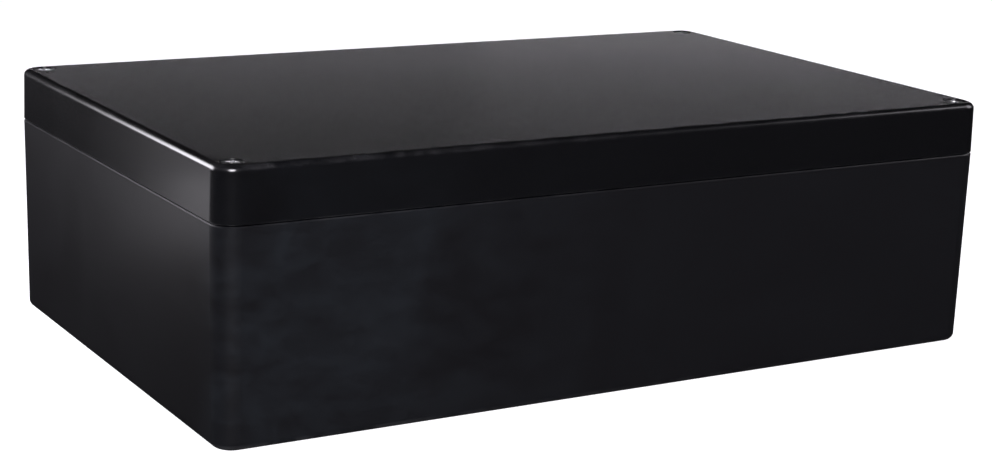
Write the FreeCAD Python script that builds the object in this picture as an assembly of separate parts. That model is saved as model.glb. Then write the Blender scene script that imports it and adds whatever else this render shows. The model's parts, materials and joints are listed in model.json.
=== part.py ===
"""Wall box with a screwed lid, moulded in glass-reinforced polyester.

A drafted base tub and a deep lid meet in a narrow shadow gap. Outside the seal, each corner of the
base is a solid column with a threaded insert for the lid screw and a well for the wall screw.
The lid screws stay in the lid on snap-in retainers. Bosses on the floor hold inserts for a mounting
plate and a terminal rail.

Frame: origin at the middle of the underside, +X along the length, +Y to the rear, +Z up. Millimetres.
"""
import FreeCAD, Part
import math
import os

from FreeCAD import Vector

# Overall sizes, all taken at the parting plane
length = 400.0
width = 250.0
height = 120.0
lid_height = 25.0
corner_radius = 10.0

# Mouldings
wall = 5.0
floor_thickness = 5.0
lid_thickness = 5.0
base_draft = 0.5            # degrees, outside and inside
lid_draft = 1.0             # degrees, outside and inside
bottom_edge_radius = 3.5
top_edge_radius = 3.0
parting_gap = 0.5           # shadow gap between lid skirt and base ledge
ledge_chamfer = 0.4
skirt_chamfer = 0.3
floor_fillet = 2.5
lid_inside_fillet = 2.0
cavity_corner_radius = 4.0
foot_band = 30.0            # flat band left round the relief under the base
foot_relief = 0.8
foot_relief_radius = 8.0

# Seal joint
tongue_thickness = 2.4
tongue_height = 5.0
tongue_chamfer = 0.4
seal_clearance = 0.45       # tongue to each wall of the lid's groove
seal_height = 4.0           # as squeezed with the lid screwed down
seal_slip = 0.05            # seal to each wall of its groove
rib_thickness = 2.2
rib_lift = 1.5              # lower edge of the inner rib above the parting plane

# Lid screws, M6 cheese head with a cross recess, and the lid's holes for them
screw_inset = 10.0          # screw axis to both outer faces
thread_diameter = 6.0
thread_pitch = 1.0
screw_length = 32.0
head_overhang = 2.0         # head past the thread
head_height = 3.6
head_crown = 0.4            # height of the domed part of the head
head_sink = 0.3             # top of the dome under the lid's top face
tip_chamfer = 0.8
recess_span = 5.4
recess_slot = 1.15
recess_depth = 2.3
recess_floor_share = 0.42   # length of each slot at its floor, as a share of its span
recess_floor_width = 0.8    # width of each slot at its floor, as a share of its mouth
recess_cone = 3.0           # mouth of the conical middle
head_clearance = 0.5        # radial, head in its counterbore
counterbore_chamfer = 0.2
shoulder_thickness = 4.0
shank_clearance = 0.4       # radial, thread in the lid's shank hole
landing_width = 2.8         # width of the pad round each screw that lands on the base
release_turns = 11          # turns that free a lid screw

# Snap-in retainers
retainer_thickness = 1.5
retainer_overhang = 1.8     # retainer past the thread
retainer_clearance = 0.4    # radial, retainer in its chamber
retainer_split = 1.4
neck_depth = 0.6            # how far the screw's neck is cut in
neck_slip = 0.05            # radial, retainer on the screw's neck
neck_play = 0.1             # each side, along the screw
retainer_stop_gap = 0.2     # retainer under the shoulder with the screw fully out

# Threaded inserts for the lid screws
insert_wall = 1.45
insert_length = 16.0
insert_sink = 0.3
insert_slip = 0.02
insert_groove_depth = 0.6
insert_groove_width = 2.0
thread_slip = 0.05
pocket_spare = 1.7          # pocket depth under the insert

# Wall-fixing holes
fixing_inset_x = 10.0
fixing_inset_y = 25.0
fixing_hole_diameter = 6.6
well_width = 12.5           # square well, which takes a 12 mm washer or socket
well_corner_radius = 2.0
well_floor = 8.0
well_chamfer = 0.5
column_wall = 3.75          # well to the nearest face of the cavity

# Floor bosses and their inserts
plate_inset_x = 35.0        # boss axis to the outer face
plate_inset_y = 25.0
boss_height = 8.0
boss_wall = 3.5             # boss outside its insert
boss_foot_spread = 1.5
boss_foot_height = 1.5
plate_thread_diameter = 5.0
plate_insert_wall = 1.0
plate_insert_length = 8.0
plate_insert_sink = 0.2
plate_insert_groove_depth = 0.5
plate_insert_groove_width = 1.4
plate_pocket_spare = 1.0

# Worked out from the sizes above
half_x = length / 2
half_y = width / 2
parting = height - lid_height
tongue_top = parting + tongue_height
groove_top = tongue_top + seal_height
skirt_bottom = parting + parting_gap
lid_inside_top = height - lid_thickness
cavity_x = half_x - wall
cavity_y = half_y - wall
notch_x = half_x - fixing_inset_x - well_width / 2 - column_wall
notch_y = half_y - fixing_inset_y - well_width / 2 - column_wall
groove_outside = tongue_thickness + seal_clearance
groove_inside = -seal_clearance
rib_inside = -seal_clearance - rib_thickness
screw_x = half_x - screw_inset
screw_y = half_y - screw_inset
fixing_x = half_x - fixing_inset_x
fixing_y = half_y - fixing_inset_y
head_diameter = thread_diameter + 2 * head_overhang
counterbore_diameter = head_diameter + 2 * head_clearance
shank_hole_diameter = thread_diameter + 2 * shank_clearance
neck_diameter = thread_diameter - 2 * neck_depth
retainer_diameter = thread_diameter + 2 * retainer_overhang
chamber_diameter = retainer_diameter + 2 * retainer_clearance
landing_diameter = chamber_diameter + 2 * landing_width
insert_bore = thread_diameter + 2 * thread_slip
insert_diameter = insert_bore + 2 * insert_wall
plate_insert_diameter = plate_thread_diameter + 2 * plate_insert_wall
boss_diameter = plate_insert_diameter + 2 * boss_wall
boss_foot_diameter = boss_diameter + 2 * boss_foot_spread
head_top = height - head_sink
head_seat = head_top - head_height
screw_tip = head_seat - screw_length
shoulder_bottom = head_seat - shoulder_thickness
screw_travel = release_turns * thread_pitch
retainer_top = shoulder_bottom - screw_travel - retainer_stop_gap
retainer_bottom = retainer_top - retainer_thickness
insert_top = parting - insert_sink
plate_x = half_x - plate_inset_x
plate_y = half_y - plate_inset_y
boss_top = floor_thickness + boss_height

overlap = 1.0               # how far cutting and joining tools run past a face

CORNERS = {
    "front_left": (-1, -1),
    "front_right": (1, -1),
    "rear_left": (-1, 1),
    "rear_right": (1, 1),
}
PLATE_POINTS = {
    "front_left": (-1, -1),
    "front_centre": (0, -1),
    "front_right": (1, -1),
    "rear_left": (-1, 1),
    "rear_centre": (0, 1),
    "rear_right": (1, 1),
}
RAIL_POINTS = {"left": (-1, 0), "right": (1, 0)}
RECESS_TURNS = {"front_left": -31, "front_right": 12, "rear_left": -24, "rear_right": 40}     # degrees


def inset(height_run, draft):
    """How far a drafted face moves in over a height."""
    return height_run * math.tan(math.radians(draft))


def rounded_polygon(corners, z):
    """A closed wire through (x, y, radius) corners, taken anticlockwise, with each corner an arc."""
    count = len(corners)
    starts, middles, ends = [], [], []
    for i in range(count):
        x, y, radius = corners[i]
        here = Vector(x, y, z)
        before = (Vector(corners[i - 1][0], corners[i - 1][1], z) - here).normalize()
        after = (Vector(corners[(i + 1) % count][0], corners[(i + 1) % count][1], z) - here).normalize()
        half_angle = before.getAngle(after) / 2
        setback = radius / math.tan(half_angle)
        middle = (before + after).normalize()
        starts.append(here + before * setback)
        middles.append(here + middle * (radius / math.sin(half_angle) - radius))
        ends.append(here + after * setback)
    edges = []
    for i in range(count):
        edges.append(Part.Arc(starts[i], middles[i], ends[i]).toShape())
        edges.append(Part.LineSegment(ends[i], starts[(i + 1) % count]).toShape())
    return Part.Wire(edges)


def rectangle(grow, z, x=half_x, y=half_y, radius=corner_radius):
    """The outer outline grown by an offset, which keeps its corner arcs on their centres."""
    x, y, radius = x + grow, y + grow, radius + grow
    return rounded_polygon([(x, y, radius), (-x, y, radius), (-x, -y, radius), (x, -y, radius)], z)


def notched(grow, z):
    """The cavity's outline, which steps in round the four columns, grown by an offset."""
    x, y = cavity_x + grow, cavity_y + grow
    step_x, step_y = notch_x + grow, notch_y + grow
    inner = cavity_corner_radius + grow     # corners of the cavity
    outer = cavity_corner_radius - grow     # corners of the columns
    quarter = [(x, step_y, inner), (step_x, step_y, outer), (step_x, y, inner)]
    corners = list(quarter)
    corners += [(-a, b, r) for a, b, r in reversed(quarter)]
    corners += [(-a, -b, r) for a, b, r in quarter]
    corners += [(a, -b, r) for a, b, r in reversed(quarter)]
    return rounded_polygon(corners, z)


def rounded_square(x, y, across, radius, z):
    """A closed wire round a square with rounded corners."""
    side = across / 2
    corners = [(x + side, y + side), (x - side, y + side), (x - side, y - side), (x + side, y - side)]
    return rounded_polygon([(a, b, radius) for a, b in corners], z)


def loft(*wires):
    return Part.makeLoft(list(wires), True, True)


def prism(wire, top):
    """A straight solid from a flat wire up to a height."""
    rise = top - wire.BoundBox.ZMin
    return Part.Face(wire).extrude(Vector(0, 0, rise))


def cylinder(x, y, z0, z1, diameter):
    return Part.makeCylinder(diameter / 2, z1 - z0, Vector(x, y, z0))


def cone(x, y, z0, z1, diameter0, diameter1):
    return Part.makeCone(diameter0 / 2, diameter1 / 2, z1 - z0, Vector(x, y, z0))


def turned(x, y, profile):
    """A solid of revolution about a vertical axis from a closed list of (radius, z) points."""
    points = [Vector(x + r, y, z) for r, z in profile]
    face = Part.Face(Part.makePolygon(points + points[:1]))
    return face.revolve(Vector(x, y, 0), Vector(0, 0, 1), 360)


def edges_at(shape, z):
    """The edges that lie flat at a height."""
    return [e for e in shape.Edges if abs(e.BoundBox.ZMin - z) < 1e-4 and abs(e.BoundBox.ZMax - z) < 1e-4]


def at_corners(x, y, make):
    """One solid at each of the four corners."""
    return [make(sx * x, sy * y) for sx, sy in CORNERS.values()]


def boss_places():
    """Every (x, y) that has a floor boss."""
    points = list(PLATE_POINTS.values()) + list(RAIL_POINTS.values())
    return [(sx * plate_x, sy * plate_y) for sx, sy in points]


def cavity_tool():
    """The space inside the base, rounded where it meets the floor and open at the top."""
    deep = inset(tongue_top - floor_thickness, base_draft)
    tool = loft(notched(-deep, floor_thickness), notched(0, tongue_top))
    tool = tool.makeFillet(floor_fillet, edges_at(tool, floor_thickness))
    return tool.fuse(prism(notched(0, tongue_top), tongue_top + overlap))


def boss(x, y):
    """A floor boss with a flared foot, carried down into the floor."""
    foot = floor_thickness + boss_foot_height
    return turned(x, y, [
        (0, floor_thickness - overlap),
        (boss_foot_diameter / 2, floor_thickness - overlap),
        (boss_foot_diameter / 2, floor_thickness),
        (boss_diameter / 2, foot),
        (boss_diameter / 2, boss_top),
        (0, boss_top),
    ])


def fixing_cut(x, y):
    """The wall screw's well, the hole under it and the chamfer at its mouth."""
    well = prism(rounded_square(x, y, well_width, well_corner_radius, well_floor), parting + overlap)
    hole = cylinder(x, y, -overlap, well_floor + overlap, fixing_hole_diameter)
    mouth = loft(
        rounded_square(x, y, well_width, well_corner_radius, parting - well_chamfer),
        rounded_square(x, y, well_width + 2 * well_chamfer, well_corner_radius + well_chamfer, parting),
    )
    return well.fuse([hole, mouth])


def insert_pocket(x, y):
    """The pocket for a lid screw's insert."""
    bottom = insert_top - insert_length - pocket_spare
    return cylinder(x, y, bottom, parting + overlap, insert_diameter + 2 * insert_slip)


def plate_pocket(x, y):
    """The pocket for a floor insert."""
    bottom = boss_top - plate_insert_sink - plate_insert_length - plate_pocket_spare
    return cylinder(x, y, bottom, boss_top + overlap, plate_insert_diameter + 2 * insert_slip)


def base_shell():
    low = inset(parting, base_draft)
    chamfer_low = inset(ledge_chamfer, base_draft)
    outside = loft(rectangle(-low, 0), rectangle(-chamfer_low, parting - ledge_chamfer))
    outside = outside.makeFillet(bottom_edge_radius, edges_at(outside, 0))
    rim = loft(rectangle(-chamfer_low, parting - ledge_chamfer), rectangle(-ledge_chamfer, parting))
    tongue = loft(
        notched(tongue_thickness, parting - overlap),
        notched(tongue_thickness, tongue_top - tongue_chamfer),
        notched(tongue_thickness - tongue_chamfer, tongue_top),
    )
    relief = prism(
        rectangle(0, -overlap, half_x - foot_band, half_y - foot_band, foot_relief_radius), foot_relief
    )
    shell = outside.fuse([rim, tongue]).cut(cavity_tool())
    shell = shell.fuse([boss(x, y) for x, y in boss_places()])
    cuts = at_corners(fixing_x, fixing_y, fixing_cut) + at_corners(screw_x, screw_y, insert_pocket)
    cuts += [plate_pocket(x, y) for x, y in boss_places()]
    return shell.cut(cuts + [relief]).removeSplitter()


def lid_screw_cut(x, y):
    """The counterbore, the shank hole and the chamber that the retainer travels in."""
    head = cylinder(x, y, head_seat, height + overlap, counterbore_diameter)
    mouth = cone(x, y, height - counterbore_chamfer, height,
                 counterbore_diameter, counterbore_diameter + 2 * counterbore_chamfer)
    hole = cylinder(x, y, shoulder_bottom - overlap, head_seat + overlap, shank_hole_diameter)
    chamber = cylinder(x, y, parting - overlap, shoulder_bottom, chamber_diameter)
    return head.fuse([mouth, hole, chamber])


def lid_shell():
    skirt_top = skirt_bottom + skirt_chamfer
    at_skirt = -inset(skirt_top - parting, lid_draft)
    at_top = -inset(height - parting, lid_draft)
    outside = loft(rectangle(at_skirt, skirt_top), rectangle(at_top, height))
    outside = outside.makeFillet(top_edge_radius, edges_at(outside, height))
    edge = loft(rectangle(at_skirt - skirt_chamfer, skirt_bottom), rectangle(at_skirt, skirt_top))
    pads = at_corners(screw_x, screw_y, lambda x, y: cylinder(x, y, parting, skirt_bottom + overlap,
                                                             landing_diameter))
    up = inset(lid_inside_top - skirt_bottom, lid_draft)
    inside = loft(notched(rib_inside, skirt_bottom), notched(rib_inside - up, lid_inside_top))
    inside = inside.makeFillet(lid_inside_fillet, edges_at(inside, lid_inside_top))
    below_rib = prism(notched(groove_outside, parting - overlap), parting + rib_lift)
    groove = prism(notched(groove_outside, parting), groove_top).cut(
        prism(notched(groove_inside, parting - overlap), groove_top + overlap)
    )
    shell = outside.fuse([edge] + pads).cut([inside, below_rib, groove])
    return shell.cut(at_corners(screw_x, screw_y, lid_screw_cut)).removeSplitter()


def lid_seal():
    """The seal cord in the lid's groove, as squeezed by the tongue."""
    outside = prism(notched(groove_outside - seal_slip, tongue_top), groove_top)
    return outside.cut(prism(notched(groove_inside + seal_slip, tongue_top - overlap), groove_top + overlap))


def cross_recess(x, y, turn):
    """Two tapered slots across each other and the conical middle of a cross recess."""
    bottom = head_top - recess_depth
    past_top = 1 + overlap / recess_depth       # the slots run on past the top of the head
    slots = []
    for angle in (turn, turn + 90):
        wires = []
        for rise in (0, past_top):
            a = recess_span * (recess_floor_share + (1 - recess_floor_share) * rise) / 2
            b = recess_slot * (recess_floor_width + (1 - recess_floor_width) * rise) / 2
            z = bottom + rise * recess_depth
            corners = [Vector(a, b, z), Vector(-a, b, z), Vector(-a, -b, z), Vector(a, -b, z)]
            wires.append(Part.makePolygon(corners + corners[:1]))
        slot = loft(*wires)
        slot.rotate(Vector(0, 0, 0), Vector(0, 0, 1), angle)
        slot.translate(Vector(x, y, 0))
        slots.append(slot)
    middle = cone(x, y, bottom, head_top, recess_slot, recess_cone)
    return slots[0].fuse([slots[1], middle])


def screw_head(x, y):
    """A cheese head: a short cylinder under a shallow spherical dome."""
    radius = head_diameter / 2
    side_top = head_top - head_crown
    sphere = (radius**2 + head_crown**2) / (2 * head_crown)
    half_angle = math.asin(radius / sphere) / 2
    half_way = Vector(x + sphere * math.sin(half_angle), y, head_top - sphere * (1 - math.cos(half_angle)))
    dome = Part.Arc(Vector(x + radius, y, side_top), half_way, Vector(x, y, head_top)).toShape()
    points = [Vector(x, y, head_top), Vector(x, y, head_seat), Vector(x + radius, y, head_seat),
              Vector(x + radius, y, side_top)]
    face = Part.Face(Part.Wire(Part.makePolygon(points).Edges + [dome]))
    return face.revolve(Vector(x, y, 0), Vector(0, 0, 1), 360)


def lid_screw(x, y, recess_turn):
    radius = thread_diameter / 2
    neck = neck_diameter / 2
    shank = turned(x, y, [
        (0, head_seat + overlap),
        (radius, head_seat + overlap),
        (radius, retainer_top + neck_play),
        (neck, retainer_top + neck_play),
        (neck, retainer_bottom - neck_play),
        (radius, retainer_bottom - neck_play),
        (radius, screw_tip + tip_chamfer),
        (radius - tip_chamfer, screw_tip),
        (0, screw_tip),
    ])
    return shank.fuse(screw_head(x, y)).cut(cross_recess(x, y, recess_turn)).removeSplitter()


def screw_retainer(x, y):
    """A split ring that snaps round the screw's neck, its split towards the middle of the box."""
    ring = cylinder(x, y, retainer_bottom, retainer_top, retainer_diameter)
    ring = ring.cut(cylinder(x, y, retainer_bottom - overlap, retainer_top + overlap,
                             neck_diameter + 2 * neck_slip))
    split = Part.makeBox(
        retainer_diameter, retainer_split, retainer_thickness + 2 * overlap,
        Vector(0, -retainer_split / 2, retainer_bottom - overlap),
    )
    split.rotate(Vector(0, 0, 0), Vector(0, 0, 1), math.degrees(math.atan2(-y, -x)))
    split.translate(Vector(x, y, 0))
    return ring.cut(split)


def threaded_insert(x, y, top, long, outer_diameter, bore_diameter, groove_width, groove_depth):
    """A brass bush with one groove round its middle."""
    bore, outer = bore_diameter / 2, outer_diameter / 2
    middle = top - long / 2
    return turned(x, y, [
        (bore, top),
        (outer, top),
        (outer, middle + groove_width / 2),
        (outer - groove_depth, middle + groove_width / 2),
        (outer - groove_depth, middle - groove_width / 2),
        (outer, middle - groove_width / 2),
        (outer, top - long),
        (bore, top - long),
    ])


def lid_insert(x, y):
    return threaded_insert(x, y, insert_top, insert_length, insert_diameter,
                           insert_bore, insert_groove_width, insert_groove_depth)


def plate_insert(x, y):
    return threaded_insert(x, y, boss_top - plate_insert_sink, plate_insert_length, plate_insert_diameter,
                           plate_thread_diameter, plate_insert_groove_width, plate_insert_groove_depth)


def build():
    """Every sub-part by node name."""
    parts = {"base_shell": base_shell(), "lid_shell": lid_shell(), "lid_seal": lid_seal()}
    for name, (sx, sy) in CORNERS.items():
        parts["lid_screw_" + name] = lid_screw(sx * screw_x, sy * screw_y, RECESS_TURNS[name])
        parts["screw_retainer_" + name] = screw_retainer(sx * screw_x, sy * screw_y)
        parts["lid_insert_" + name] = lid_insert(sx * screw_x, sy * screw_y)
    for name, (sx, sy) in PLATE_POINTS.items():
        parts["plate_insert_" + name] = plate_insert(sx * plate_x, sy * plate_y)
    for name, (sx, sy) in RAIL_POINTS.items():
        parts["rail_insert_" + name] = plate_insert(sx * plate_x, sy * plate_y)
    return parts


os.makedirs("parts", exist_ok=True)
for node, shape in build().items():
    print(node, len(shape.Solids), shape.isValid(), round(shape.Volume, 1))
    shape.exportStep("parts/" + node + ".step")
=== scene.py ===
"""The looks of a moulded wall box with a screwed lid, built round its CAD frame.

The two mouldings keep their CAD shapes and get a finish. The lid screws, their retainers, the threaded
inserts and the seal are made again in finer detail, each where its CAD node stands. Metres, in the CAD
frame: origin at the middle of the underside, +X along the length, +Y to the rear, +Z up.
"""

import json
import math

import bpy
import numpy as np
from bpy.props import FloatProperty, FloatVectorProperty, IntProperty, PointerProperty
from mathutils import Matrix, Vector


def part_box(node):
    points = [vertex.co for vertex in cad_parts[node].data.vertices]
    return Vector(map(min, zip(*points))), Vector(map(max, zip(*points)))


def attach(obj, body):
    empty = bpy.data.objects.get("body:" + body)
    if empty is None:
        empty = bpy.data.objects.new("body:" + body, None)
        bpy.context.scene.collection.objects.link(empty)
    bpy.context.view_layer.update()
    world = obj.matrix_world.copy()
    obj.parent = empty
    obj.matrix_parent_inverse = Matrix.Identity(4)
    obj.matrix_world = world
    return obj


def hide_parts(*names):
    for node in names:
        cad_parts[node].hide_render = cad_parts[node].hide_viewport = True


bl_info = {
    "name": "Screw-lid Wall Box",
    "version": (1, 0, 0),
    "blender": (4, 5, 0),
    "location": "View3D > Sidebar > Wall Box",
    "description": "Makes the finishes, screws, inserts, seal and stage of a moulded wall box",
    "category": "Object",
}

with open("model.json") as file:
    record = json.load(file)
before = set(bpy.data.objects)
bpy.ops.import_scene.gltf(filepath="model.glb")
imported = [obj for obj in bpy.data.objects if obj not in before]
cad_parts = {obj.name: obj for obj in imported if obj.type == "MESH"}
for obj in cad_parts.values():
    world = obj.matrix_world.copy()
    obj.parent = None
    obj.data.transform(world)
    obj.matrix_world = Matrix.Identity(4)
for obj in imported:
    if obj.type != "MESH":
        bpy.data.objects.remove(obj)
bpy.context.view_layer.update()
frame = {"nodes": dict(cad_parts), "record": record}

MM = 0.001
# Turn of each screw's recess, in degrees
CORNERS = {"front_left": -31, "front_right": 12, "rear_left": -24, "rear_right": 40}
NODES = sorted(frame["nodes"])
LID_INSERTS = [name for name in NODES if name.startswith("lid_insert_")]
FLOOR_INSERTS = [name for name in NODES if name.startswith(("plate_insert_", "rail_insert_"))]


# Sizes and colours that a user would change

def length(name, default, description):
    """A length in metres, from a default in millimetres."""
    return FloatProperty(name=name, description=description, default=default * MM, min=0, unit="LENGTH",
                         precision=5)


def share(name, default, description):
    return FloatProperty(name=name, description=description, default=default, min=0, max=1, subtype="FACTOR")


def colour(name, default, description):
    return FloatVectorProperty(name=name, description=description, default=default, min=0, max=1,
                               size=3, subtype="COLOR")


def angle(name, default, description):
    """An angle, from a default in degrees."""
    return FloatProperty(name=name, description=description, default=math.radians(default), unit="ROTATION")


class MouldingSettings(bpy.types.PropertyGroup):
    base_black: colour("Base black", (0.0032, 0.0031, 0.0038), "Colour of the base's resin")
    lid_black: colour("Lid black", (0.0022, 0.0022, 0.0026), "Colour of the lid's resin")
    cloud: colour("Cloud", (0.0078, 0.0100, 0.0128), "Bluish colour of the clouds and smears")
    base_cloudiness: share("Base cloudiness", 0.50, "How strong the clouds are on the base")
    lid_cloudiness: share("Lid cloudiness", 0.12, "How strong the clouds are on the lid")
    # Partly painted highlight: this lighter edge colour stands for light that the edges catch as well as for
    # rubbing.
    rub_and_highlight_colour: colour("Rubbed", (0.030, 0.030, 0.032), "Colour of edges that are rubbed by handling")
    fibre: colour("Fibre", (0.016, 0.016, 0.017), "Colour of glass fibres that show inside")
    base_gloss: share("Base roughness", 0.31, "Roughness of the base's skin between its marks")
    lid_gloss: share("Lid roughness", 0.21, "Roughness of the lid's skin between its marks")
    peel_size: length("Peel size", 1.6, "Width of one hump of the orange peel in the skin")
    peel_depth: length("Peel depth", 0.006, "Depth of the orange peel")
    flow_depth: length("Flow depth", 0.012, "Depth of the long waves that the resin leaves")


class ScrewSettings(bpy.types.PropertyGroup):
    pitch: length("Pitch", 1.0, "Rise of the thread in one turn")
    thread_depth: length("Thread depth", 0.60, "Crest to root of the thread")
    shank: length("Shank diameter", 6.0, "Diameter of the thread's crests and the plain shank")
    neck: length("Neck diameter", 4.8, "Diameter of the neck that the retainer sits on")
    head_height: length("Head height", 3.6, "Top of the head to its seat")
    crown: length("Crown", 0.4, "Height of the domed top of the head")
    rim: length("Rim radius", 0.25, "Rounding between the head's top and its side")
    recess_span: length("Recess span", 5.4, "Tip to tip of the cross recess")
    recess_slot: length("Recess slot", 1.15, "Width of each arm of the cross")
    recess_cone: length("Recess cone", 3.0, "Mouth of the cone in the middle of the cross")
    recess_depth: length("Recess depth", 2.3, "Depth of the cross recess")
    steel: colour("Steel", (0.50, 0.50, 0.505), "Colour of the stainless steel")
    gloss: share("Roughness", 0.30, "Roughness of the steel")


class InsertSettings(bpy.types.PropertyGroup):
    knurls: IntProperty(name="Knurls", description="Teeth round an insert", default=30, min=8)
    knurl_depth: length("Knurl depth", 0.22, "Depth of the diamond knurl")
    lid_bore: length("Lid insert bore", 6.1, "Diameter inside a lid insert's thread crests")
    floor_bore: length("Floor insert bore", 5.0, "Diameter inside a floor insert's thread crests")
    thread_depth: length("Thread depth", 0.32, "Depth of the thread cut in the bore")
    lid_pitch: length("Lid insert pitch", 1.0, "Pitch of the thread in a lid insert")
    floor_pitch: length("Floor insert pitch", 0.8, "Pitch of the thread in a floor insert")
    brass: colour("Brass", (0.62, 0.42, 0.16), "Colour of the brass")
    tarnish: colour("Tarnish", (0.23, 0.12, 0.045), "Colour of the tarnish")


class RetainerSettings(bpy.types.PropertyGroup):
    bore: length("Bore", 4.9, "Diameter of the ring's bore")
    width: length("Width", 2.35, "Bore to outside of the ring")
    split: length("Split", 1.4, "Width of the split")
    edge: length("Edge radius", 0.25, "Rounding of the ring's edges")
    nylon: colour("Nylon", (0.60, 0.57, 0.48), "Colour of the natural nylon")


class SealSettings(bpy.types.PropertyGroup):
    column_x: length("Column length", 15.0, "How far each column takes from the cavity along X")
    column_y: length("Column width", 30.0, "How far each column takes from the cavity along Y")
    corner: length("Corner radius", 4.0, "Radius of the cavity's corners")
    tongue: length("Tongue", 2.4, "Thickness of the tongue that presses the seal")
    width: length("Width", 3.2, "Width of the seal")
    edge: length("Edge radius", 0.7, "Rounding of the seal's upper edges")
    lip: length("Lip", 0.22, "How far the seal bulges down beside the tongue")
    rubber: colour("Rubber", (0.032, 0.033, 0.036), "Colour of the foamed rubber")


class StageSettings(bpy.types.PropertyGroup):
    aim: FloatVectorProperty(name="Aim", description="Point in the middle of the view",
                             default=(-0.005055, -0.011248, 0.045987), subtype="TRANSLATION", unit="LENGTH")
    distance: length("Distance", 1048.384, "Camera to its aim")
    lens: FloatProperty(name="Lens", description="Focal length on a 36 mm sensor, in millimetres",
                        default=77.561, min=1)
    azimuth: angle("Azimuth", -30.679, "Turn of the view to the left of straight on")
    elevation: angle("Elevation", 14.036, "Height of the camera over the horizon")
    roll: angle("Roll", -1.929, "Tilt of the camera")
    floor_size: length("Floor", 12000, "Side of the square floor")
    floor_colour: colour("Floor colour", (0.86, 0.86, 0.87), "Colour of the pale floor")
    floor_glow: FloatProperty(name="Floor glow", description="Light that the lit floor gives", default=0.7)
    room: FloatProperty(name="Room", description="Strength of the even light of the room", default=0.01)


# Surfaces

SHARP_ANGLE = math.radians(40)
THREAD_CREST, THREAD_FLANK = 0.125, 0.625      # shares of the pitch, from the middle of the crest


def skin(name, grid, closed_rows=False, local=None):
    """A closed mesh over a grid of points, rows by columns by three, in metres.

    The columns run round and close. The rows close too, or end in a point at the middle of each end row.
    Outwards is the direction along the rows crossed with the direction along the columns. `local` is the
    origin from which the attribute "local" is measured in millimetres.
    """
    rows, columns = grid.shape[:2]
    i = np.arange(rows if closed_rows else rows - 1)[:, None]
    j = np.arange(columns)[None, :]
    below, beside = (i + 1) % rows, (j + 1) % columns
    quads = [i * columns + j, below * columns + j, below * columns + beside, i * columns + beside]
    faces = np.stack(quads, -1).reshape(-1, 4).tolist()
    points = grid.reshape(-1, 3)
    if not closed_rows:
        first, beside = np.arange(columns), (np.arange(columns) + 1) % columns
        last = first + (rows - 1) * columns
        start, end = np.full(columns, rows * columns), np.full(columns, rows * columns + 1)
        faces += np.stack([start, first, beside], -1).tolist()
        faces += np.stack([end, last[beside], last], -1).tolist()
        points = np.concatenate([points, grid[0].mean(0)[None], grid[-1].mean(0)[None]])
    mesh = bpy.data.meshes.new(name)
    mesh.from_pydata(points.tolist(), [], faces)
    mesh.polygons.foreach_set("use_smooth", np.ones(len(mesh.polygons), bool))
    mesh.set_sharp_from_angle(angle=SHARP_ANGLE)
    if local is not None:
        attribute = mesh.attributes.new("local", "FLOAT_VECTOR", "POINT")
        attribute.data.foreach_set("vector", ((points - np.array(local)) / MM).astype(np.float32).ravel())
    mesh.update()
    piece = bpy.data.objects.new(name, mesh)
    bpy.context.scene.collection.objects.link(piece)
    return piece


def turned(radius, height, angles, centre):
    """Points of a turned surface: radius and height (rows by columns) at each angle round a centre."""
    radius, height, angles = np.broadcast_arrays(radius, height, angles)
    return np.stack([centre[0] + radius * np.cos(angles), centre[1] + radius * np.sin(angles), height], -1)


def thread_groove(height, angles, pitch):
    """Depth of a right-hand thread, 0 at the crest and 1 at the root.

    The phase is height over pitch less the share of a turn. A triangle wave of it is cut flat over an
    eighth of the pitch at the crest and a quarter at the root.
    """
    phase = (height / pitch - angles / (2 * math.pi)) % 1
    return np.clip((np.abs(2 * phase - 1) - THREAD_CREST) / THREAD_FLANK, 0, 1)


def smooth(t):
    """0 to 1 with level ends: three t squared less two t cubed."""
    t = np.clip(t, 0, 1)
    return t * t * (3 - 2 * t)


def cross_reach(angles, half_length, half_width):
    """How far a cross reaches at each angle: the farther of its two slots' edges."""
    c, s = np.maximum(np.abs(np.cos(angles)), 1e-6), np.maximum(np.abs(np.sin(angles)), 1e-6)
    along = np.minimum(half_length / c, half_width / s)
    across = np.minimum(half_width / c, half_length / s)
    return np.maximum(along, across)


def box_of(node):
    """A node's lowest and highest corners and the middle between them, as arrays."""
    low, high = (np.array(corner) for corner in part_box(node))
    return low, high, (low + high) / 2


def column(values):
    return np.asarray(values, float)[:, None]


def stack(groups, width):
    """Groups of rows one under another, each row spread to the same width."""
    return np.concatenate([np.broadcast_to(rows, (len(rows), width)) for rows in groups])


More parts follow.
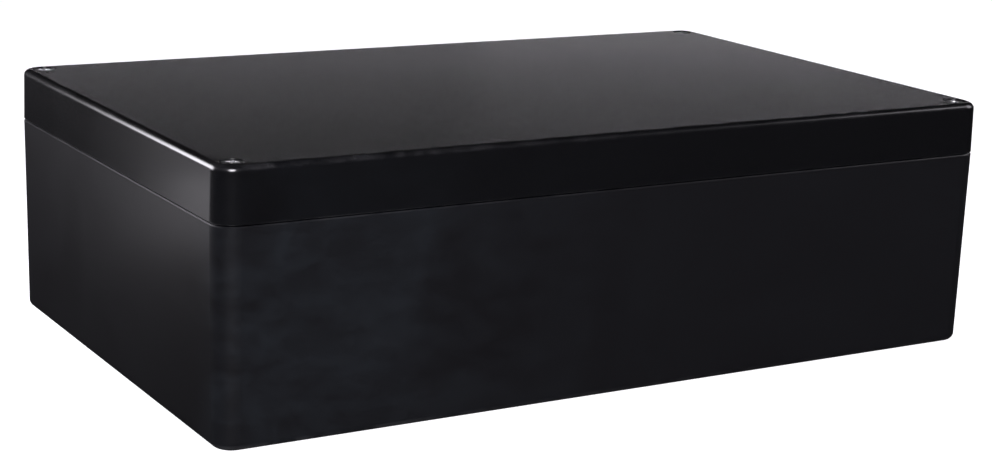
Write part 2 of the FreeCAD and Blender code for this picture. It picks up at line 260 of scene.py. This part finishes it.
def screw_points(corner, s):
    """A lid screw from the floor of its recess, over its head and down its shank to its tip.

    Recess: at a rise from its floor to its mouth, the reach is the greater of a tapered cross and a cone.
    Head: a sphere cap whose radius goes from the recess's mouth to the rim, a quarter-round rim, the side.
    Shank: the crest radius less the thread's groove, which fades at both ends, inside two chamfers.
    """
    low, high, centre = box_of("lid_screw_" + corner)
    neck_low, neck_high, _ = box_of("screw_retainer_" + corner)
    head, shank, neck = (high[0] - low[0]) / 2, s.shank / 2, s.neck / 2
    top, tip, seat = high[2], low[2], high[2] - s.head_height
    floor_share, floor_width = 0.42, 0.8            # the recess's floor as shares of its mouth
    play, chamfer, break_edge, fillet = 0.1 * MM, 0.8 * MM, 0.05 * MM, 0.3 * MM
    seat_chamfer, neck_chamfer = 0.2 * MM, 0.15 * MM
    rows_per_pitch, run_in, run_out = 14, s.pitch, 0.7 * s.pitch
    half_span, half_slot, half_cone = s.recess_span / 2, s.recess_slot / 2, s.recess_cone / 2

    corners = [math.atan2(half_slot * w, half_span * a)
               for w, a in ((floor_width, floor_share), (1, 1))]
    quarter = np.array(corners + [math.pi / 2 - t for t in corners])
    quarters = (quarter[:, None] + np.arange(4) * math.pi / 2).ravel()
    angles = np.unique(np.round(np.concatenate([np.arange(96) * math.pi / 48, quarters]), 6))

    sphere = (head**2 + s.crown**2) / (2 * s.crown)

    def dome(r):
        return top - sphere + np.sqrt(sphere**2 - r**2)

    rise = column([0, 0.12, 0.35, 0.6, 0.8, 0.94, 1])
    cone = half_slot + (half_cone - half_slot) * rise
    reach = np.maximum(cross_reach(angles, half_span * (floor_share + (1 - floor_share) * rise),
                                   half_slot * (floor_width + (1 - floor_width) * rise)), cone)
    mouth = reach[-1]
    floor = top - s.recess_depth
    recess_height = floor + rise * (dome(mouth) - break_edge - floor)

    out = column(np.linspace(0, 1, 9))
    crown_radius = (mouth + break_edge) * (1 - out) + (head - s.rim) * out
    turn = column(np.linspace(0, math.pi / 2, 6)[1:])
    rim_radius = head - s.rim + s.rim * np.sin(turn)
    rim_height = dome(head - s.rim) - s.rim + s.rim * np.cos(turn)

    steps = column([0, 0.3, 0.65, 1]) * math.pi / 2
    under_radius = shank + fillet * (1 - np.sin(steps))
    under_height = seat - fillet * (1 - np.cos(steps))
    neck_top, neck_bottom = neck_high[2] + play, neck_low[2] - play
    plain_radius = column([head, head - seat_chamfer, *under_radius[:, 0], shank, shank - neck_chamfer,
                           neck])
    plain_height = column([seat + seat_chamfer, seat, *under_height[:, 0], neck_top + neck_chamfer,
                           neck_top, neck_top])

    count = int((neck_bottom - tip) / s.pitch * rows_per_pitch)
    down = column(np.linspace(neck_bottom, tip, count))
    fade = smooth((neck_bottom - down) / run_in) * smooth((down - tip) / run_out)
    crest = np.minimum(shank, np.minimum(neck + (neck_bottom - down), shank - chamfer + (down - tip)))
    groove = s.thread_depth * fade * thread_groove(down, angles, s.pitch)
    thread_radius = np.minimum(crest, shank - groove)

    radius = stack([reach, crown_radius, rim_radius, plain_radius, thread_radius], len(angles))
    height = stack([recess_height, dome(crown_radius), rim_height, plain_height, down], len(angles))
    turn = math.radians(CORNERS[corner])
    return turned(radius, height, angles + turn, centre), (centre[0], centre[1], top)


def insert_points(node, s, pitch, bore):
    """A threaded insert as a closed turned surface: over the top, down the knurled outside, up the bore.

    Outside: the outer radius less the knurl, which is the deeper of two triangle waves that wind opposite
    ways, and a plain waist a fifth of the length high. Bore: the bore radius plus the thread's groove.
    """
    low, high, centre = box_of(node)
    outer, top, bottom = (high[0] - low[0]) / 2, high[2], low[2]
    edge, mouth, row = 0.2 * MM, 0.35 * MM, 0.4 * MM
    waist_depth, waist_share, knurl_lead = 0.5 * MM, 0.1, 2.2 * MM
    columns_per_knurl, rows_per_pitch = 4, 11
    angles = np.arange(s.knurls * columns_per_knurl) * (2 * math.pi / (s.knurls * columns_per_knurl))
    down = column(np.linspace(top - edge, bottom + edge, int((top - bottom) / row)))
    share_down = (top - down) / (top - bottom)
    waist = (np.abs(share_down - 0.5) < waist_share) * waist_depth
    wind = down / knurl_lead

    def wave(phase):
        return np.abs(2 * (phase % 1) - 1)

    turn = angles / (2 * math.pi) * s.knurls
    knurl = s.knurl_depth * np.maximum(wave(turn + wind), wave(turn - wind)) * (waist == 0)
    outside = outer - waist - knurl
    up = column(np.linspace(bottom + mouth, top - mouth, int((top - bottom) / pitch * rows_per_pitch)))
    fade = smooth((up - bottom) / pitch) * smooth((top - up) / pitch)
    inside = bore + s.thread_depth * fade * thread_groove(up, angles, pitch)
    radius = [column([bore + mouth, (bore + outer) / 2, outer - edge]), outside,
              column([outer - edge, (bore + outer) / 2, bore + mouth]), inside]
    height = [column([top, top, top]), down, column([bottom, bottom, bottom]), up]
    points = turned(stack(radius, len(angles)), stack(height, len(angles)), angles, centre)
    return points, (centre[0], centre[1], top)


def rounded_section(half_width, half_height, edge, steps=5):
    """A rectangle with quarter-round corners, anticlockwise: corner centres plus the edge radius turned."""
    quarter = np.linspace(0, math.pi / 2, steps)
    turns = (np.arange(4)[:, None] * math.pi / 2 + quarter).ravel()
    across = np.repeat([1, -1, -1, 1], steps) * (half_width - edge) + edge * np.cos(turns)
    up = np.repeat([1, 1, -1, -1], steps) * (half_height - edge) + edge * np.sin(turns)
    return across, up


def retainer_points(corner, s):
    """A split ring: a rounded section carried round from one side of the split to the other.

    At each radius the split's half angle is the arc sine of half its width over that radius, so that its
    sides are parallel. The end rows draw in to round the ends.
    """
    low, high, _ = box_of("screw_retainer_" + corner)
    _, _, screw = box_of("lid_screw_" + corner)
    bore, outer = s.bore / 2, s.bore / 2 + s.width
    across, up = rounded_section((outer - bore) / 2, (high[2] - low[2]) / 2, s.edge)
    start_rows = np.array([0, 0.001, 0.004])
    middle_rows = np.linspace(0.012, 0.988, 72)
    along = column(np.concatenate([start_rows, middle_rows, 1 - start_rows[::-1]]))
    end, end_draw = 0.008, 0.28                     # where an end begins, and how far it draws in
    draw = 1 - end_draw * (1 - np.clip(np.minimum(along, 1 - along) / end, 0, 1)) ** 2
    middle = (outer + bore) / 2
    radius = middle + across[None, :] * draw
    height = (high[2] + low[2]) / 2 + up[None, :] * draw
    gap = np.arcsin(s.split / 2 / radius)
    start = math.atan2(-screw[1], -screw[0])
    angles = start + gap + (2 * math.pi - 2 * gap) * along
    return turned(radius, height, angles, screw), (screw[0], screw[1], high[2])


def seal_path(x, y, s, grow):
    """The outline that steps in round four columns, as points and outward normals.

    Each corner is an arc. A corner that points outwards grows with the outline, and one that points
    inwards shrinks. Straight runs join the arcs.
    """
    step_x, step_y = x - s.column_x, y - s.column_y
    quarter = [(x, step_y, 1), (step_x, step_y, -1), (step_x, y, 1)]
    corners = list(quarter)
    corners += [(-a, b, way) for a, b, way in reversed(quarter)]
    corners += [(-a, -b, way) for a, b, way in quarter]
    corners += [(a, -b, way) for a, b, way in reversed(quarter)]
    places, normals = [], []
    for k, (a, b, way) in enumerate(corners):
        here = np.array([a, b])
        before = np.array(corners[k - 1][:2]) - here
        before /= np.linalg.norm(before)
        after = np.array(corners[(k + 1) % len(corners)][:2]) - here
        after /= np.linalg.norm(after)
        radius = s.corner + grow * way
        middle = here + (before + after) * radius
        turns = column(np.linspace(0, math.pi / 2, 10))
        spokes = -after * np.cos(turns) - before * np.sin(turns)
        places.append(middle + spokes * radius)
        normals.append(spokes * way)
    places, normals = np.concatenate(places), np.concatenate(normals)
    return places, normals


def seal_points(s):
    """The seal: a section carried along its path, with the normal across and Z up.

    The section is a rectangle with round upper corners. Its lower side is pressed flat by the tongue, and
    bulges down beside the tongue by the lip, as a sine of the distance past the tongue's edge.
    """
    low, high, _ = box_of("lid_seal")
    half = s.width / 2
    grow = s.tongue / 2
    x, y = high[0] - half, high[1] - half
    places, normals = seal_path(x, y, s, grow)
    base, top = low[2], high[2]
    quarter = np.linspace(0, math.pi / 2, 6)
    lower = np.linspace(-1, 1, 25)
    pressed = s.tongue / 2 + 0.03 * MM
    past = np.clip((np.abs(lower) * half - pressed) / (half - pressed), 0, 1)
    inner, shoulder = half - s.edge, top - s.edge
    section_across = np.concatenate([lower * half, inner + s.edge * np.cos(quarter),
                                     -inner - s.edge * np.sin(quarter)])
    section_up = np.concatenate([base - s.lip * np.sin(past * math.pi), shoulder + s.edge * np.sin(quarter),
                                 shoulder + s.edge * np.cos(quarter)])
    points = np.empty((len(places), len(section_across), 3))
    points[..., :2] = places[:, None] + normals[:, None] * section_across[None, :, None]
    points[..., 2] = section_up
    return points


# Finishes

class Finish:
    """A material under one name, and short words for the nodes that make it."""

    def __init__(self, name, **fixed):
        self.material = bpy.data.materials.new(name)
        self.material.use_nodes = True
        self.tree = self.material.node_tree
        self.shader = self.tree.nodes["Principled BSDF"]
        for socket, value in fixed.items():
            self.shader.inputs[socket.replace("_", " ")].default_value = value
        self.place = self.node("TexCoord", {}, "Object")

    def node(self, kind, inputs, output=0, **settings):
        """Adds a node, sets or joins its inputs and returns one output."""
        node = self.tree.nodes.new("ShaderNode" + kind)
        for name, value in settings.items():
            setattr(node, name, value)
        for key, value in inputs.items():
            self.join(value, node.inputs[key])
        return node.outputs[output]

    def join(self, value, socket):
        if isinstance(value, bpy.types.NodeSocket):
            self.tree.links.new(value, socket)
        elif hasattr(value, "__len__") and len(value) == 3 and socket.type == "RGBA":
            socket.default_value = (*value, 1)
        else:
            socket.default_value = value

    def set(self, **sockets):
        for name, value in sockets.items():
            self.join(value, self.shader.inputs[name.replace("_", " ")])

    def stretched(self, scale, turn=(0, 0, 0), place=None):
        return self.node("Mapping", {"Vector": place or self.place, "Scale": scale, "Rotation": turn})

    def noise(self, size, detail=2.0, rough=0.5, warp=0.0, place=None):
        """Noise whose humps are about `size` wide, in the unit of its place."""
        return self.node("TexNoise", {"Vector": place or self.place, "Scale": 1 / size, "Detail": detail,
                                      "Roughness": rough, "Distortion": warp})

    def span(self, value, low, high, to_low=0.0, to_high=1.0):
        return self.node("MapRange", {"Value": value, "From Min": low, "From Max": high,
                                      "To Min": to_low, "To Max": to_high})

    def calc(self, operation, a, b=0.0):
        return self.node("Math", {0: a, 1: b}, operation=operation)

    def times(self, a, b):
        return self.calc("MULTIPLY", a, b)

    def plus(self, a, b):
        return self.calc("ADD", a, b)

    def parts(self, vector, count=3):
        """The first coordinates of a vector."""
        return [self.node("SeparateXYZ", {"Vector": vector}, k) for k in range(count)]

    def rings(self, x, y, pitch):
        """The distance from the Z axis, and a sine of it that makes rings a pitch apart."""
        radius = self.calc("SQRT", self.plus(self.times(x, x), self.times(y, y)))
        return radius, self.calc("SINE", self.times(radius, 2 * math.pi / pitch))

    def mix(self, share, a, b):
        """Colour a, going over to colour b."""
        return self.node("Mix", {0: share, 6: a, 7: b}, 2, data_type="RGBA")

    def bump(self, height, depth, normal=None):
        inputs = {"Height": height, "Distance": depth, "Strength": 1.0}
        if normal is not None:
            inputs["Normal"] = normal
        return self.node("Bump", inputs)

    def edges(self, reach):
        """1 on rounded and sharp edges, 0 on faces.

        An edge is where the normal is neither level nor upright, or where it is far from the normal of the
        same shape with its edges bevelled by the reach.
        """
        normal = self.node("TexCoord", {}, "Normal")
        upright = self.calc("ABSOLUTE", self.node("SeparateXYZ", {"Vector": normal}, "Z"))
        rounded = self.times(self.span(upright, 0.15, 0.45), self.span(upright, 0.995, 0.93))
        true_normal = self.node("NewGeometry", {}, "Normal")
        bevelled = self.node("Bevel", {"Radius": reach}, samples=4)
        same = self.node("VectorMath", {0: bevelled, 1: true_normal}, "Value", operation="DOT_PRODUCT")
        sharp = self.span(same, 0.995, 0.90)
        return self.calc("MAXIMUM", rounded, sharp)


def inside_walls(f):
    """1 inside the box, 0 on its outer faces, by planes that run through the middles of the walls."""
    x, y, z = f.parts(f.place)
    wall_x, wall_y, floor_middle, lid_middle = 0.1952, 0.1202, 0.0015, 0.1155
    inside = f.times(f.calc("LESS_THAN", f.calc("ABSOLUTE", x), wall_x),
                     f.calc("LESS_THAN", f.calc("ABSOLUTE", y), wall_y))
    inside = f.times(inside, f.calc("LESS_THAN", z, lid_middle))
    return f.times(inside, f.calc("GREATER_THAN", z, floor_middle))


def moulding_finish(name, s, black, cloudiness, gloss):
    """Black glass-fibre moulding: resin clouds, smears, flow waves, orange peel, streaks and lighter edges.

    The edges are painted lighter, partly as rubbing and partly as a painted highlight. The smears gather on
    the front, towards its left end, and the lighter edges are strongest there. Glass fibres show on the
    inner faces only.
    """
    cloud_size, smear_size, streak_size, grain_size = 0.075, 0.014, 0.004, 0.0007
    fibre_size, rub_and_highlight_size, wave_size = 0.0011, 0.012, 0.06
    left_from, left_to, front_from, front_to = 0.02, -0.19, -0.10, -0.12
    smear_strength, cloud_at_left, cloud_elsewhere = 0.75, 0.85, 0.15
    # Edges are painted lighter, partly for rubbing and partly as a painted highlight, most at the front
    # left.
    rub_and_highlight_at_left, rub_and_highlight_elsewhere, rub_and_highlight_strength, rub_and_highlight_reach = 0.7, 0.3, 0.45, 0.0006
    fibre_strength, fibre_depth, fibre_turns = 0.6, 0.00003, (0.3, 1.4, 2.5)

    f = Finish(name, IOR=1.52)
    x, y = f.parts(f.place, 2)
    clouds = f.noise(cloud_size, 4, 0.62, 1.2)
    drift = f.noise(smear_size, 5, 0.62, 0.45, f.stretched((0.6, 0.6, 1.4), (0, 0.35, 0)))
    streaks = f.noise(streak_size, 3, 0.6, 0.4, f.stretched((0.10, 0.10, 1.0), (0.12, 0.05, 0)))
    grain = f.noise(grain_size, 2, 0.6)
    front_left = f.times(f.span(x, left_from, left_to), f.span(y, front_from, front_to))
    smear = f.times(f.span(drift, 0.40, 0.72), f.times(front_left, smear_strength))
    cloud_share = f.plus(f.times(front_left, cloud_at_left), cloud_elsewhere)
    cloudy = f.times(f.span(clouds, 0.35, 0.75), cloud_share)
    tone = f.times(f.plus(cloudy, smear), cloudiness)
    colour_now = f.mix(f.span(tone, 0, 1), black, s.cloud)

    fibres = [f.span(f.noise(fibre_size, 2, 0.5, 0.3, f.stretched((0.10, 1, 1), (0, 0.4, turn))), 0.60, 0.68)
              for turn in fibre_turns]
    fibre = f.calc("MAXIMUM", f.calc("MAXIMUM", fibres[0], fibres[1]), fibres[2])
    inside = inside_walls(f)
    fibre = f.times(fibre, inside)
    colour_now = f.mix(f.times(fibre, fibre_strength), colour_now, s.fibre)

    # Painted highlight, also standing for rubbing: edges are painted a lighter colour, more at the front
    # left.
    wear_and_painted_highlight = f.times(f.edges(rub_and_highlight_reach), f.span(f.noise(rub_and_highlight_size, 4, 0.7), 0.40, 0.66))
    wear_and_painted_highlight = f.times(wear_and_painted_highlight, f.plus(f.times(front_left, rub_and_highlight_at_left), rub_and_highlight_elsewhere))
    colour_now = f.mix(f.times(wear_and_painted_highlight, rub_and_highlight_strength), colour_now, s.rub_and_highlight_colour)

    rough = f.span(clouds, 0.3, 0.75, gloss - 0.01, gloss + 0.015)
    rough = f.plus(rough, f.span(smear, 0, 1, 0, 0.03))
    rough = f.plus(rough, f.span(streaks, 0.35, 0.75, 0, 0.012))
    rough = f.plus(rough, f.times(wear_and_painted_highlight, 0.06))
    rough = f.plus(rough, f.times(inside, 0.12))

    normal = f.bump(f.noise(wave_size, 2, 0.5), s.flow_depth)
    normal = f.bump(f.noise(s.peel_size, 2, 0.5), s.peel_depth, normal)
    normal = f.bump(grain, s.peel_depth * 0.25, normal)
    normal = f.bump(fibre, fibre_depth, normal)
    f.set(Base_Color=colour_now, Roughness=rough, Normal=normal)
    return f.material


def shade(tint, *shares):
    """A colour times one share, or times a share for each of its parts."""
    return tuple(c * k for c, k in zip(tint, shares * 3 if len(shares) == 1 else shares))


def steel_finish(s):
    """Stainless steel: turned rings about each screw's own axis, fine scratches, painted shade in the
    recess.

    Its place is the attribute "local", in millimetres from the middle of each head's top.
    """
    ring_pitch, patch_size, scratch_size = 0.16, 1.6, 0.12
    ring_depth, scratch_depth, ringed_from = 0.0000012, 0.000003, -0.6
    f = Finish("lid screw steel", Metallic=1.0)
    own = f.node("Attribute", {}, "Vector", attribute_name="local")
    x, y, z = f.parts(own)
    radius, rings = f.rings(x, y, ring_pitch)
    patches = f.noise(patch_size, 4, 0.65, 0.8, own)
    scratches = f.noise(scratch_size, 2, 0.5, 0.2, f.stretched((0.08, 1, 1), (0, 0, 0.7), own))
    # Painted shade: the steel is painted darker deep in the cross recess.
    painted_recess_shade = f.times(f.span(z, -0.55, -1.6), f.span(radius, 2.95, 2.6))
    bright = f.mix(f.span(patches, 0.35, 0.7), s.steel, shade(s.steel, 0.82))
    steel_with_painted_shade = f.mix(painted_recess_shade, bright, shade(s.steel, 0.25))
    rough = f.span(patches, 0.3, 0.7, s.gloss - 0.06, s.gloss + 0.10)
    rough = f.plus(rough, f.span(scratches, 0.55, 0.75, 0, 0.12))
    normal = f.bump(f.times(rings, f.calc("GREATER_THAN", z, ringed_from)), ring_depth)
    normal = f.bump(scratches, scratch_depth, normal)
    f.set(Base_Color=steel_with_painted_shade, Roughness=rough, Normal=normal)
    return f.material


def brass_finish(s):
    """Turned brass, tarnished in patches, with fine rings on its faces.

    Its place is the attribute "local", in millimetres from the middle of each insert's top.
    """
    ring_pitch, patch_size, speck_size = 0.13, 1.9, 0.3
    ring_depth, speck_depth = 0.0000015, 0.000004
    f = Finish("insert brass", Metallic=1.0)
    own = f.node("Attribute", {}, "Vector", attribute_name="local")
    x, y = f.parts(own, 2)
    _, rings = f.rings(x, y, ring_pitch)
    patches = f.noise(patch_size, 5, 0.66, 0.9, own)
    specks = f.noise(speck_size, 3, 0.6, 0.0, own)
    tarnish = f.plus(f.span(patches, 0.45, 0.75, 0, 0.7), f.span(specks, 0.58, 0.72, 0, 0.25))
    rough = f.span(patches, 0.35, 0.75, 0.24, 0.46)
    normal = f.bump(rings, ring_depth)
    normal = f.bump(specks, speck_depth, normal)
    f.set(Base_Color=f.mix(tarnish, s.brass, s.tarnish), Roughness=rough, Normal=normal)
    return f.material


def nylon_finish(s):
    """Natural nylon: milky, a little waxy, with fine moulding grain."""
    f = Finish("retainer nylon", IOR=1.53, Subsurface_Weight=0.25, Subsurface_Scale=0.001)
    patch_size, grain_size, grain_depth = 0.0022, 0.00025, 0.00001
    patches = f.noise(patch_size, 3, 0.6, 0.5)
    grain = f.noise(grain_size, 2, 0.5)
    tone = f.mix(f.span(patches, 0.35, 0.7), s.nylon, shade(s.nylon, 0.86, 0.83, 0.76))
    rough = f.span(grain, 0.3, 0.7, 0.38, 0.52)
    f.set(Base_Color=tone, Roughness=rough, Normal=f.bump(grain, grain_depth))
    return f.material


def rubber_finish(s):
    """Foamed rubber: matt, finely pitted where cells open at the skin, with painted shade in the pits and a
    dusting of talc.
    """
    cell_size, cell_depth, talc_size, talc_depth = 0.00055, 0.00006, 0.006, 0.00004
    f = Finish("seal rubber", IOR=1.5)
    cells = f.node("TexVoronoi", {"Vector": f.place, "Scale": 1 / cell_size}, "Distance")
    talc = f.noise(talc_size, 4, 0.65, 0.5)
    tone = f.mix(f.span(talc, 0.42, 0.75, 0, 0.8), s.rubber, shade(s.rubber, 2.1))
    # Painted shade: the colour is darker in the middle of each open cell, where the pits are.
    tone = f.mix(f.span(cells, 0.30, 0.05, 0, 0.7), tone, shade(s.rubber, 0.3))
    normal = f.bump(f.span(cells, 0.0, 0.45), cell_depth)
    normal = f.bump(talc, talc_depth, normal)
    f.set(Base_Color=tone, Roughness=f.span(talc, 0.35, 0.7, 0.72, 0.9), Normal=normal)
    return f.material


def put(piece, material, body, node):
    """Gives a new piece its finish and body, and lets it stand for a CAD node."""
    piece.data.materials.append(material)
    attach(piece, body)
    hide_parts(node)


def body_with(node):
    """The body that carries a CAD node."""
    return next(name for name, nodes in frame["record"]["behaviour"]["bodies"].items() if node in nodes)


# Operators

class WALLBOX_OT_mouldings(bpy.types.Operator):
    """Give the base and the lid their black glass-fibre finish"""
    bl_idname = "wallbox.mouldings"
    bl_label = "Finish base and lid"

    def execute(self, context):
        s = context.scene.wall_box_moulding
        for node, black, cloudiness, gloss in (
                ("base_shell", s.base_black, s.base_cloudiness, s.base_gloss),
                ("lid_shell", s.lid_black, s.lid_cloudiness, s.lid_gloss)):
            material = moulding_finish(node.replace("_shell", " moulding"), s, black, cloudiness, gloss)
            shell = frame["nodes"][node]
            if not shell.material_slots:
                shell.data.materials.append(material)
            for slot in shell.material_slots:
                slot.material = material
        return {"FINISHED"}


class WALLBOX_OT_screws(bpy.types.Operator):
    """Make the four captive lid screws with their threads and cross recesses"""
    bl_idname = "wallbox.screws"
    bl_label = "Make lid screws"

    def execute(self, context):
        s = context.scene.wall_box_screw
        steel = steel_finish(s)
        for corner in CORNERS:
            points, origin = screw_points(corner, s)
            piece = skin("screw_" + corner, points, local=origin)
            put(piece, steel, "screw_" + corner, "lid_screw_" + corner)
        return {"FINISHED"}


class WALLBOX_OT_retainers(bpy.types.Operator):
    """Make the four snap-in rings that keep the screws in the lid"""
    bl_idname = "wallbox.retainers"
    bl_label = "Make retainers"

    def execute(self, context):
        s = context.scene.wall_box_retainer
        nylon = nylon_finish(s)
        for corner in CORNERS:
            points, origin = retainer_points(corner, s)
            piece = skin("retainer_" + corner, points, local=origin)
            put(piece, nylon, "retainer_" + corner, "screw_retainer_" + corner)
        return {"FINISHED"}


class WALLBOX_OT_inserts(bpy.types.Operator):
    """Make the knurled brass inserts for the lid screws and on the floor bosses"""
    bl_idname = "wallbox.inserts"
    bl_label = "Make threaded inserts"

    def execute(self, context):
        s = context.scene.wall_box_insert
        brass = brass_finish(s)
        for nodes, pitch, bore in ((LID_INSERTS, s.lid_pitch, s.lid_bore),
                                   (FLOOR_INSERTS, s.floor_pitch, s.floor_bore)):
            for node in nodes:
                points, origin = insert_points(node, s, pitch, bore / 2)
                piece = skin("brass_" + node, points, closed_rows=True, local=origin)
                put(piece, brass, body_with(node), node)
        return {"FINISHED"}


class WALLBOX_OT_seal(bpy.types.Operator):
    """Make the foamed seal, with the mark that the tongue leaves in it"""
    bl_idname = "wallbox.seal"
    bl_label = "Make seal"

    def execute(self, context):
        s = context.scene.wall_box_seal
        piece = skin("seal", seal_points(s), closed_rows=True)
        put(piece, rubber_finish(s), body_with("lid_seal"), "lid_seal")
        return {"FINISHED"}


SENSOR_WIDTH, CLIP_START = 36, 0.01            # millimetres, metres
LIGHT_COLOUR = (0.96, 0.93, 1.0)
WHITE = (1, 1, 1, 1)

# Softboxes: middle, point faced, width and height in metres, watts. The two low ones stand a hand's width
# from the left wall and only give it a sheen, so they need very little power.
SOFTBOXES = {
    "front": ((-0.9, -1.7, 1.1), (0.0, 0.0, 0.05), (0.9, 0.9), 68),
    "right": ((1.8, -0.7, 1.0), (0.0, 0.0, 0.05), (1.0, 1.0), 12),
    "rear": ((1.15, 1.6, 0.12), (0.55, 0.0, 0.12), (2.1, 0.2), 8.0),
    "rear_right": ((2.6, 2.6, 0.16), (0.0, 0.0, 0.12), (2.0, 0.3), 3.2),
    "left": ((-0.515, 0.325, 0.22), (-0.2, -0.10, 0.06), (0.30, 0.25), 2.8),
    "low_left": ((-0.338, 0.155, 0.03), (-0.2, -0.12, 0.05), (0.08, 0.04), 0.009),
    "low_rear": ((-0.407, 0.300, 0.04), (-0.2, -0.12, 0.05), (0.12, 0.06), 0.011),
}


def camera(s):
    """A camera that looks from its distance along its azimuth and elevation, then rolls."""
    a, e = s.azimuth, s.elevation
    forward = Vector((-math.sin(a) * math.cos(e), math.cos(a) * math.cos(e), -math.sin(e)))
    level = forward.cross(Vector((0, 0, 1))).normalized()
    upright = level.cross(forward)
    right = level * math.cos(s.roll) - upright * math.sin(s.roll)
    up = level * math.sin(s.roll) + upright * math.cos(s.roll)
    data = bpy.data.cameras.new("camera")
    data.sensor_width = SENSOR_WIDTH
    data.lens = s.lens
    data.clip_start = CLIP_START
    made = bpy.data.objects.new("camera", data)
    bpy.context.scene.collection.objects.link(made)
    placed = Matrix((right, up, -forward)).transposed().to_4x4()
    placed.translation = Vector(s.aim) - forward * s.distance
    made.matrix_world = placed
    bpy.context.scene.camera = made


def softbox(name, place, target, size, watts):
    """A rectangular light that faces a point."""
    data = bpy.data.lights.new(name, "AREA")
    data.shape = "RECTANGLE"
    data.size, data.size_y = size
    data.energy = watts
    data.color = LIGHT_COLOUR
    made = bpy.data.objects.new(name, data)
    bpy.context.scene.collection.objects.link(made)
    made.visible_camera = False
    made.location = place
    made.rotation_euler = (Vector(target) - Vector(place)).to_track_quat("-Z", "Y").to_euler()


def room_light(s):
    """A white room where the camera looks, and a dim even one where light and gloss come from."""
    world = bpy.data.worlds.new("room")
    bpy.context.scene.world = world
    world.use_nodes = True
    tree = world.node_tree
    dim = tree.nodes["Background"]
    dim.inputs["Color"].default_value = WHITE
    dim.inputs["Strength"].default_value = s.room
    white = tree.nodes.new("ShaderNodeBackground")
    white.inputs["Color"].default_value = WHITE
    seen = tree.nodes.new("ShaderNodeLightPath")
    either = tree.nodes.new("ShaderNodeMixShader")
    tree.links.new(seen.outputs["Is Camera Ray"], either.inputs[0])
    tree.links.new(dim.outputs[0], either.inputs[1])
    tree.links.new(white.outputs[0], either.inputs[2])
    tree.links.new(either.outputs[0], tree.nodes["World Output"].inputs["Surface"])


def floor(s):
    """A flat square floor under the box."""
    half = s.floor_size / 2
    mesh = bpy.data.meshes.new("floor")
    corners = [(-half, -half, 0), (half, -half, 0), (half, half, 0), (-half, half, 0)]
    mesh.from_pydata(corners, [], [(0, 1, 2, 3)])
    made = bpy.data.objects.new("floor", mesh)
    bpy.context.scene.collection.objects.link(made)
    f = Finish("pale floor", Roughness=0.9)
    drift_size, drift_share = 0.6, 0.985
    tone = f.mix(f.noise(drift_size, 3, 0.5), s.floor_colour, shade(s.floor_colour, drift_share))
    f.set(Base_Color=tone, Emission_Color=WHITE[:3], Emission_Strength=s.floor_glow)
    mesh.materials.append(f.material)
    made.visible_glossy = False


class WALLBOX_OT_stage(bpy.types.Operator):
    """Set out the floor, the room's light, the softboxes and the camera"""
    bl_idname = "wallbox.stage"
    bl_label = "Set the stage"

    def execute(self, context):
        s = context.scene.wall_box_stage
        context.scene.view_settings.view_transform = "Standard"
        camera(s)
        floor(s)
        room_light(s)
        for name, (place, target, size, watts) in SOFTBOXES.items():
            softbox(name, place, target, size, watts)
        return {"FINISHED"}


GROUPS = {
    "wall_box_moulding": MouldingSettings,
    "wall_box_screw": ScrewSettings,
    "wall_box_retainer": RetainerSettings,
    "wall_box_insert": InsertSettings,
    "wall_box_seal": SealSettings,
    "wall_box_stage": StageSettings,
}
OPERATORS = {
    "wall_box_moulding": WALLBOX_OT_mouldings,
    "wall_box_screw": WALLBOX_OT_screws,
    "wall_box_retainer": WALLBOX_OT_retainers,
    "wall_box_insert": WALLBOX_OT_inserts,
    "wall_box_seal": WALLBOX_OT_seal,
    "wall_box_stage": WALLBOX_OT_stage,
}


class WALLBOX_PT_maker(bpy.types.Panel):
    """Every piece of the wall box, with its sizes and colours"""
    bl_idname = "WALLBOX_PT_maker"
    bl_label = "Wall Box"
    bl_space_type = "VIEW_3D"
    bl_region_type = "UI"
    bl_category = "Wall Box"

    def draw(self, context):
        for group, operator in OPERATORS.items():
            area = self.layout.box()
            settings = getattr(context.scene, group)
            for setting in settings.__annotations__:
                area.prop(settings, setting)
            area.operator(operator.bl_idname)


CLASSES = [*GROUPS.values(), *OPERATORS.values(), WALLBOX_PT_maker]


def register():
    for made in CLASSES:
        bpy.utils.register_class(made)
    for name, group in GROUPS.items():
        setattr(bpy.types.Scene, name, PointerProperty(type=group))


def unregister():
    for name in GROUPS:
        delattr(bpy.types.Scene, name)
    for made in reversed(CLASSES):
        bpy.utils.unregister_class(made)


def main():
    register()
    bpy.ops.wallbox.mouldings()
    bpy.ops.wallbox.screws()
    bpy.ops.wallbox.retainers()
    bpy.ops.wallbox.inserts()
    bpy.ops.wallbox.seal()
    bpy.ops.wallbox.stage()


if __name__ == "__main__":
    main()
